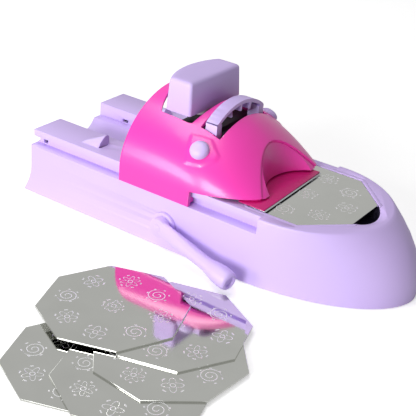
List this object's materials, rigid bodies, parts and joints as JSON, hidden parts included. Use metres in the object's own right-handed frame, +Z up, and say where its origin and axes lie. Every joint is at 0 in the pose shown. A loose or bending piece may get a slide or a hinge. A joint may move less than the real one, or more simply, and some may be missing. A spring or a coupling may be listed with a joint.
{
  "type": "nail stamping machine",
  "caption": "Boat-shaped nail stamping machine with a sliding hood, a press, a scraper, a finger rest lifted by a side lever, and loose octagonal plates.",
  "frame": {"origin": "on the table, on the machine's centre line, under the middle grip strip", "axes": "+X from the stern, where the finger goes in, towards the rounded bow; +Z up; -Y towards the side lever and the loose plates"},
  "size_m": [0.2074, 0.2078, 0.0788],
  "materials": {
    "lilac_plastic": "moulded, satin-gloss",
    "pink_plastic": "moulded, glossy",
    "white_plastic": "moulded, matte",
    "charcoal_plastic": "moulded, matte",
    "polished_steel": "polished sheet with engraved motifs",
    "plated_steel": "nickel plated",
    "spring_wire": "bright drawn wire",
    "blade_steel": "ground",
    "grip_rubber": "matte",
    "pad_rubber": "smooth silicone"
  },
  "bodies": {
    "base": {"base_shell": "lilac_plastic", "deck": "lilac_plastic", "plate_bed": "lilac_plastic", "bed_plate": "polished_steel", "bottom_cover": "lilac_plastic", "cover_screws": "plated_steel", "grip_strips": "grip_rubber", "guide_posts": "plated_steel", "lever_bush": "lilac_plastic", "rest_spring": "spring_wire"},
    "lever": {"lever_shaft": "plated_steel", "lift_cam": "lilac_plastic", "side_lever": "lilac_plastic", "lever_screw": "plated_steel"},
    "finger_rest": {"finger_rest": "lilac_plastic"},
    "carriage": {"hood": "pink_plastic", "mouth_panel": "pink_plastic", "carriage_frame": "charcoal_plastic", "hood_screws": "plated_steel", "screw_caps": "lilac_plastic", "stem_bush": "white_plastic", "pivot_pins": "plated_steel", "press_spring": "spring_wire"},
    "press": {"press_block": "lilac_plastic", "press_stem": "white_plastic", "stem_screws": "plated_steel", "pad_holder": "pink_plastic", "stamp_pad": "pad_rubber"},
    "scraper": {"arch_handle": "lilac_plastic", "scraper_yoke": "pink_plastic", "scraper_blade": "blade_steel", "scraper_spring": "spring_wire"},
    "spare_plate_1": {"spare_plate_1": "polished_steel"},
    "spare_plate_2": {"spare_plate_2": "polished_steel"},
    "spare_plate_3": {"spare_plate_3": "polished_steel"},
    "spare_plate_4": {"spare_plate_4": "polished_steel"},
    "spare_plate_5": {"spare_plate_5": "polished_steel"}
  },
  "joints": [
    {"name": "lever_turn", "type": "hinge", "parent": "base", "child": "lever", "pos_m": [-0.0105, 0, 0.0125], "axis": [0, -1, 0], "range_deg": [0, 60]},
    {"name": "rest_lift", "type": "slide", "parent": "base", "child": "finger_rest", "axis": [0, 0, 1], "range_m": [0, 0.005], "deforming": ["rest_spring"]},
    {"name": "carriage_slide", "type": "slide", "parent": "base", "child": "carriage", "axis": [1, 0, 0], "range_m": [-0.033, 0.037]},
    {"name": "press_down", "type": "slide", "parent": "carriage", "child": "press", "axis": [0, 0, -1], "range_m": [0, 0.006], "stiffness_N_per_m": 350, "springref_m": -0.003, "deforming": ["press_spring"]},
    {"name": "scraper_tilt", "type": "hinge", "parent": "carriage", "child": "scraper", "pos_m": [0.0011, 0, 0.0488], "axis": [0, -1, 0], "range_deg": [0, 1], "stiffness_Nm_per_rad": 0.06, "springref_deg": -5.73},
    {"name": "plate_1_lift", "type": "slide", "parent": "base", "child": "spare_plate_1", "axis": [0, 0, 1], "range_m": [0, 0.02]},
    {"name": "plate_2_lift", "type": "slide", "parent": "spare_plate_1", "child": "spare_plate_2", "axis": [0, 0, 1], "range_m": [0, 0.02]},
    {"name": "plate_3_lift", "type": "slide", "parent": "spare_plate_2", "child": "spare_plate_3", "axis": [0, 0, 1], "range_m": [0, 0.02]},
    {"name": "plate_4_lift", "type": "slide", "parent": "spare_plate_3", "child": "spare_plate_4", "axis": [0, 0, 1], "range_m": [0, 0.02]},
    {"name": "plate_5_lift", "type": "slide", "parent": "spare_plate_4", "child": "spare_plate_5", "axis": [0, 0, 1], "range_m": [0, 0.02]}
  ],
  "couplings": [
    {"joint": "lever_turn", "follows": "rest_lift", "rad_per_m": 209.43}
  ]
}
